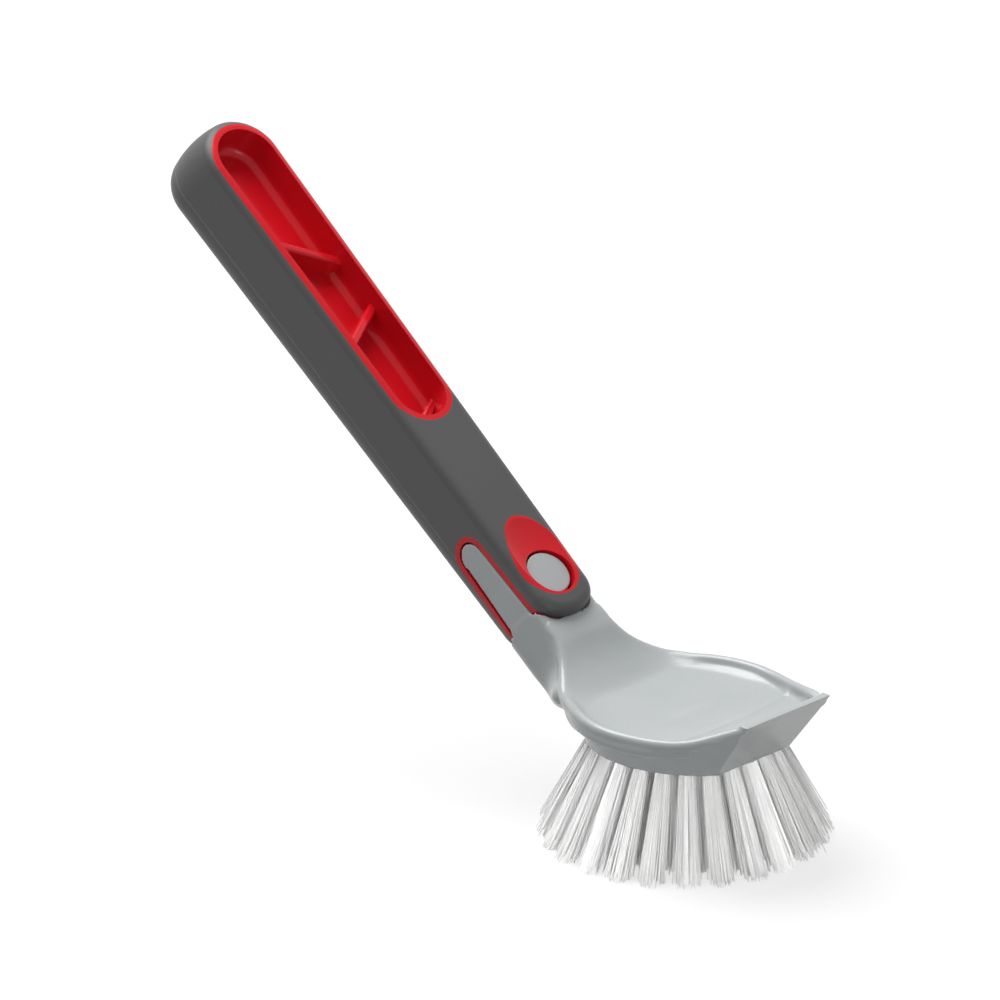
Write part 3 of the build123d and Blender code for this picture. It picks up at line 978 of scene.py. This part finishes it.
def maths(tree, operation, *values):
    """One step of arithmetic."""
    step = add(tree, "ShaderNodeMath", dict(enumerate(values)), operation=operation)
    return step.outputs[0]


def vectors(tree, operation, inputs):
    """One step of vector arithmetic."""
    return add(tree, "ShaderNodeVectorMath", inputs, operation=operation).outputs[0]


print("inputs of the tree:", len(value))

# %% [markdown]
# Each tuft place remembers where it is. Then it gets a bundle of root points,
# spread evenly over a disc by the golden turn, as a sunflower packs its seeds.

# %% One root for each strand
places = add(
    bristle_group,
    "GeometryNodeGroup",
    node_tree=places_group,
)
bristle_group.links.new(value["Outer ring"], places.inputs["Outer ring"])
bristle_group.links.new(value["Ring pitch"], places.inputs["Ring pitch"])
here = add(bristle_group, "GeometryNodeInputPosition").outputs[0]
number = add(bristle_group, "GeometryNodeInputIndex").outputs[0]
marked = add(
    bristle_group,
    "GeometryNodeStoreNamedAttribute",
    {"Geometry": places.outputs[0], "Name": "tuft_middle", "Value": here},
    data_type="FLOAT_VECTOR",
    domain="POINT",
)
filled = maths(
    bristle_group,
    "DIVIDE",
    maths(bristle_group, "ADD", number, 0.5),
    value["Strands in a tuft"],
)
out = maths(
    bristle_group,
    "MULTIPLY",
    maths(bristle_group, "SQRT", filled),
    value["Tuft radius"],
)
turn = maths(bristle_group, "MULTIPLY", number, GOLDEN_TURN)
spot = add(
    bristle_group,
    "ShaderNodeCombineXYZ",
    {
        "X": maths(bristle_group, "MULTIPLY", out, maths(bristle_group, "COSINE", turn)),
        "Y": maths(bristle_group, "MULTIPLY", out, maths(bristle_group, "SINE", turn)),
    },
)
bundle = add(
    bristle_group,
    "GeometryNodePoints",
    {"Count": value["Strands in a tuft"], "Position": spot.outputs[0]},
)
any_turn = add(
    bristle_group,
    "FunctionNodeRandomValue",
    {"Max": (0.0, 0.0, 2 * math.pi), "Seed": value["Seed"]},
    data_type="FLOAT_VECTOR",
)
tufts = add(
    bristle_group,
    "GeometryNodeInstanceOnPoints",
    {
        "Points": marked.outputs[0],
        "Instance": bundle.outputs[0],
        "Rotation": any_turn.outputs[0],
    },
)
roots = add(bristle_group, "GeometryNodeRealizeInstances", {"Geometry": tufts.outputs[0]})
middle = add(
    bristle_group,
    "GeometryNodeInputNamedAttribute",
    {"Name": "tuft_middle"},
    data_type="FLOAT_VECTOR",
).outputs[0]
print("root nodes so far:", len(bristle_group.nodes))

# %% [markdown]
# Each root now knows its tuft. The tip lies where the tuft's middle goes when
# the whole brush splays, plus the strand's own place in the bundle, fanned out
# more. The rod is a unit long, so it can be stretched to reach the tip.

# %% Aim the strands
STRAY_CHANCE = 0.006
STRAY_REACH = 14.0
own = vectors(bristle_group, "SUBTRACT", {0: here, 1: middle})
splayed = vectors(bristle_group, "SCALE", {0: middle, "Scale": value["Splay"]})
fanned = vectors(bristle_group, "SCALE", {0: own, "Scale": value["Fan"]})
wander = add(
    bristle_group,
    "FunctionNodeRandomValue",
    {"Min": (-1.0, -1.0, 0.0), "Max": (1.0, 1.0, 0.0), "Seed": value["Seed"]},
    data_type="FLOAT_VECTOR",
).outputs[0]
chance = add(
    bristle_group,
    "FunctionNodeRandomValue",
    {"Seed": maths(bristle_group, "ADD", value["Seed"], 3.0)},
    data_type="FLOAT",
).outputs[1]
rare = maths(bristle_group, "GREATER_THAN", chance, 1 - STRAY_CHANCE)
wild = maths(bristle_group, "MULTIPLY", rare, STRAY_REACH)
sway = maths(
    bristle_group,
    "MULTIPLY",
    value["Stray"],
    maths(bristle_group, "ADD", wild, 1.0),
)
strayed = vectors(bristle_group, "SCALE", {0: wander, "Scale": sway})
tip_flat = vectors(
    bristle_group,
    "ADD",
    {0: vectors(bristle_group, "ADD", {0: splayed, 1: fanned}), 1: strayed},
)
ends = add(
    bristle_group,
    "FunctionNodeRandomValue",
    {"Seed": maths(bristle_group, "ADD", value["Seed"], 7.0)},
    data_type="FLOAT",
).outputs[1]
short = maths(
    bristle_group,
    "MULTIPLY",
    maths(bristle_group, "POWER", ends, 2.0),
    value["Uneven ends"],
)
tip_height = add(bristle_group, "ShaderNodeCombineXYZ", {"Z": short}).outputs[0]
root_height = add(bristle_group, "ShaderNodeCombineXYZ", {"Z": value["Root height"]}).outputs[0]
tip = vectors(bristle_group, "ADD", {0: tip_flat, 1: tip_height})
root = vectors(bristle_group, "ADD", {0: here, 1: root_height})
aim = vectors(bristle_group, "SUBTRACT", {0: tip, 1: root})
reach = add(bristle_group, "ShaderNodeVectorMath", {0: aim}, operation="LENGTH").outputs["Value"]
lean = add(
    bristle_group,
    "FunctionNodeAlignRotationToVector",
    {"Vector": aim},
    axis="Z",
).outputs[0]
stretch = add(bristle_group, "ShaderNodeCombineXYZ", {"X": 1.0, "Y": 1.0, "Z": reach}).outputs[0]
print("nodes with the aim:", len(bristle_group.nodes))

# %% [markdown]
# The roots are about to be lifted to the face that they grow from, which would
# spoil the aim if it were worked out again. So the aim, the length and the root's
# place are kept on each point first, and read back where the rods are placed.

# %% Place a rod on each root
STRAND_SIDES = 4
STRAND_PARTS = 3
lifted = add(
    bristle_group,
    "GeometryNodeStoreNamedAttribute",
    {"Geometry": roots.outputs[0], "Name": "root_place", "Value": here},
    data_type="FLOAT_VECTOR",
    domain="POINT",
)
rod = add(
    bristle_group,
    "GeometryNodeMeshCylinder",
    {
        "Vertices": STRAND_SIDES,
        "Side Segments": STRAND_PARTS,
        "Radius": value["Strand radius"],
        "Depth": 1.0,
    },
)
standing = add(
    bristle_group,
    "GeometryNodeTransform",
    {"Geometry": rod.outputs["Mesh"], "Translation": (0.0, 0.0, 0.5)},
)
kept_lean = add(
    bristle_group,
    "GeometryNodeStoreNamedAttribute",
    {"Geometry": lifted.outputs[0], "Name": "strand_lean", "Value": lean},
    data_type="QUATERNION",
    domain="POINT",
)
kept_stretch = add(
    bristle_group,
    "GeometryNodeStoreNamedAttribute",
    {"Geometry": kept_lean.outputs[0], "Name": "strand_stretch", "Value": stretch},
    data_type="FLOAT_VECTOR",
    domain="POINT",
)
placed = add(
    bristle_group,
    "GeometryNodeSetPosition",
    {"Geometry": kept_stretch.outputs[0], "Position": root},
)
read_lean = add(
    bristle_group,
    "GeometryNodeInputNamedAttribute",
    {"Name": "strand_lean"},
    data_type="QUATERNION",
).outputs[0]
read_stretch = add(
    bristle_group,
    "GeometryNodeInputNamedAttribute",
    {"Name": "strand_stretch"},
    data_type="FLOAT_VECTOR",
).outputs[0]
strands = add(
    bristle_group,
    "GeometryNodeInstanceOnPoints",
    {
        "Points": placed.outputs[0],
        "Instance": standing.outputs[0],
        "Rotation": read_lean,
        "Scale": read_stretch,
    },
)
solid = add(bristle_group, "GeometryNodeRealizeInstances", {"Geometry": strands.outputs[0]})
print("nodes with the rods:", len(bristle_group.nodes))

# %% [markdown]
# Real strands aren't quite straight. Slow noise over the roots pushes each rod
# sideways, more and more towards its tip, so neighbours bend alike. The tree ends
# with the material, which a plain mesh then keeps.

# %% Bend the strands
DRIFT_SIZE = 1.6 * MM
BEND_POWER = 2.0
split = add(bristle_group, "ShaderNodeSeparateXYZ", {0: here})
fallen = maths(
    bristle_group,
    "SUBTRACT",
    1.0,
    maths(bristle_group, "DIVIDE", split.outputs["Z"], value["Root height"]),
)
bow = maths(
    bristle_group,
    "MULTIPLY",
    maths(bristle_group, "POWER", fallen, BEND_POWER),
    value["Bend"],
)
home = add(
    bristle_group,
    "GeometryNodeInputNamedAttribute",
    {"Name": "root_place"},
    data_type="FLOAT_VECTOR",
).outputs[0]
drift = add(
    bristle_group,
    "ShaderNodeTexNoise",
    {"Vector": home, "Scale": 1 / DRIFT_SIZE, "Detail": 1.0},
)
level = vectors(bristle_group, "SUBTRACT", {0: drift.outputs["Color"], 1: (0.5, 0.5, 0.5)})
flat_drift = vectors(bristle_group, "MULTIPLY", {0: level, 1: (1.0, 1.0, 0.0)})
shift = vectors(bristle_group, "SCALE", {0: flat_drift, "Scale": bow})
bent = add(
    bristle_group,
    "GeometryNodeSetPosition",
    {"Geometry": solid.outputs[0], "Offset": shift},
)
painted = add(
    bristle_group,
    "GeometryNodeSetMaterial",
    {"Geometry": bent.outputs[0], "Material": value["Material"]},
)
bristle_group.links.new(painted.outputs[0], group_out.inputs[0])
print("bristle nodes:", len(bristle_group.nodes))

# %% [markdown]
# A modifier runs the tree on an empty mesh. Its result is copied to a plain
# mesh, because the parts of this brush are kept as meshes, and the modifier
# goes. The same few lines serve every tree.


# %% Grow the bristles
def grow(name, group, settings):
    """Runs a node tree once, and gives its result as a plain mesh object."""
    seed_object = bpy.data.objects.new(name + "_tree", bpy.data.meshes.new(name + "_tree"))
    bpy.context.scene.collection.objects.link(seed_object)
    modifier = seed_object.modifiers.new("tree", "NODES")
    modifier.node_group = group
    sockets = {
        item.name: item.identifier
        for item in group.interface.items_tree
        if item.item_type == "SOCKET" and item.in_out == "INPUT"
    }
    for label, setting in settings.items():
        modifier[sockets[label]] = setting
    bpy.context.view_layer.update()
    evaluated = seed_object.evaluated_get(bpy.context.evaluated_depsgraph_get())
    mesh = bpy.data.meshes.new_from_object(evaluated)
    bpy.data.objects.remove(seed_object)
    piece = bpy.data.objects.new(name, mesh)
    bpy.context.scene.collection.objects.link(piece)
    return piece


bristles = grow(
    "bristles",
    bristle_group,
    {
        "Outer ring": OUTER_RING,
        "Ring pitch": RING_PITCH,
        "Root height": board_face + 0.5 * BOARD_THICKNESS,
        "Tuft radius": 2.2 * MM,
        "Strands in a tuft": 80,
        "Splay": 1.56,
        "Fan": 1.85,
        "Strand radius": 0.13 * MM,
        "Uneven ends": 2.6 * MM,
        "Bend": 1.1 * MM,
        "Stray": 0.3 * MM,
        "Seed": 11,
        "Material": nylon,
    },
)
put_on(bristles, nylon)
print("bristle triangles:", sum(len(p.vertices) - 2 for p in bristles.data.polygons))

# %% [markdown]
# Real nylon passes light from strand to strand, so a tuft glows white. The rods
# come out too dark in the tent's light, though their material is near white. A
# low lamp in front lights nothing but the bristles. It is a stage effect, and it
# reaches only the front: from behind, and in other light, they look greyer.

# %% Light the bristles
bristle_lamp = soft_lamp(
    "bristle_lamp", place=(0.7, -0.75, 0.12), target=(0, 0, 0.015), size=0.5, power=21.0
)
lit_pieces = bpy.data.collections.new("lit_by_bristle_lamp")
lit_pieces.objects.link(bristles)
bristle_lamp.light_linking.receiver_collection = lit_pieces

# %% [markdown]
# ## The face that the tufts stand in
# Seen from below, the head is a flat disc with a raised ring round each tuft's
# hole. A second small tree puts one ring on each of the same places.

# %% The brush face
face_group, group_in, group_out = start_group(
    "brush_face",
    {
        "Outer ring": "NodeSocketFloat",
        "Ring pitch": "NodeSocketFloat",
        "Face radius": "NodeSocketFloat",
        "Face height": "NodeSocketFloat",
        "Thickness": "NodeSocketFloat",
        "Collar radius": "NodeSocketFloat",
        "Collar height": "NodeSocketFloat",
        "Material": "NodeSocketMaterial",
    },
)
value = group_in.outputs
places = add(face_group, "GeometryNodeGroup", node_tree=places_group)
face_group.links.new(value["Outer ring"], places.inputs["Outer ring"])
face_group.links.new(value["Ring pitch"], places.inputs["Ring pitch"])
disc = add(
    face_group,
    "GeometryNodeMeshCylinder",
    {"Vertices": ROUND_SIDES, "Radius": value["Face radius"], "Depth": value["Thickness"]},
)
disc_height = add(
    face_group,
    "ShaderNodeCombineXYZ",
    {
        "Z": maths(
            face_group,
            "ADD",
            value["Face height"],
            maths(face_group, "MULTIPLY", value["Thickness"], 0.5),
        )
    },
).outputs[0]
raised_disc = add(
    face_group,
    "GeometryNodeTransform",
    {"Geometry": disc.outputs["Mesh"], "Translation": disc_height},
)
print("brush face nodes for the disc:", len(face_group.nodes))

# %% [markdown]
# Each ring is a short collar that its tuft fills, one instance on each tuft place.

# %% The rings round the tufts
collar = add(
    face_group,
    "GeometryNodeMeshCylinder",
    {"Vertices": 20, "Radius": value["Collar radius"], "Depth": value["Collar height"]},
)
collars = add(
    face_group,
    "GeometryNodeInstanceOnPoints",
    {"Points": places.outputs[0], "Instance": collar.outputs["Mesh"]},
)
collar_height = add(
    face_group, "ShaderNodeCombineXYZ", {"Z": value["Face height"]}
).outputs[0]
raised_collars = add(
    face_group,
    "GeometryNodeTransform",
    {"Geometry": collars.outputs[0], "Translation": collar_height},
)
both = add(face_group, "GeometryNodeJoinGeometry")
face_group.links.new(raised_disc.outputs[0], both.inputs[0])
face_group.links.new(raised_collars.outputs[0], both.inputs[0])
real = add(face_group, "GeometryNodeRealizeInstances", {"Geometry": both.outputs[0]})
painted = add(
    face_group,
    "GeometryNodeSetMaterial",
    {"Geometry": real.outputs[0], "Material": value["Material"]},
)
face_group.links.new(painted.outputs[0], group_out.inputs[0])
brush_face = grow(
    "brush_face",
    face_group,
    {
        "Outer ring": OUTER_RING,
        "Ring pitch": RING_PITCH,
        "Face radius": board_radius,
        "Face height": board_face,
        "Thickness": BOARD_THICKNESS,
        "Collar radius": 2.4 * MM,
        "Collar height": 0.7 * MM,
        "Material": grey_plastic,
    },
)
put_on(brush_face, grey_plastic)
print("brush face faces:", len(brush_face.data.polygons))

# %% [markdown]
# ## Tie the pieces to the model
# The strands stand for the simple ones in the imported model, so those are
# hidden. Both pieces move with the head.

# %% Ride on the head
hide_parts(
    "bristles_outer", "bristles_second", "bristles_third", "bristles_inner"
)
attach(bristles, "head")
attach(brush_face, "head")
print("pieces on the head:", bristles.name, brush_face.name)
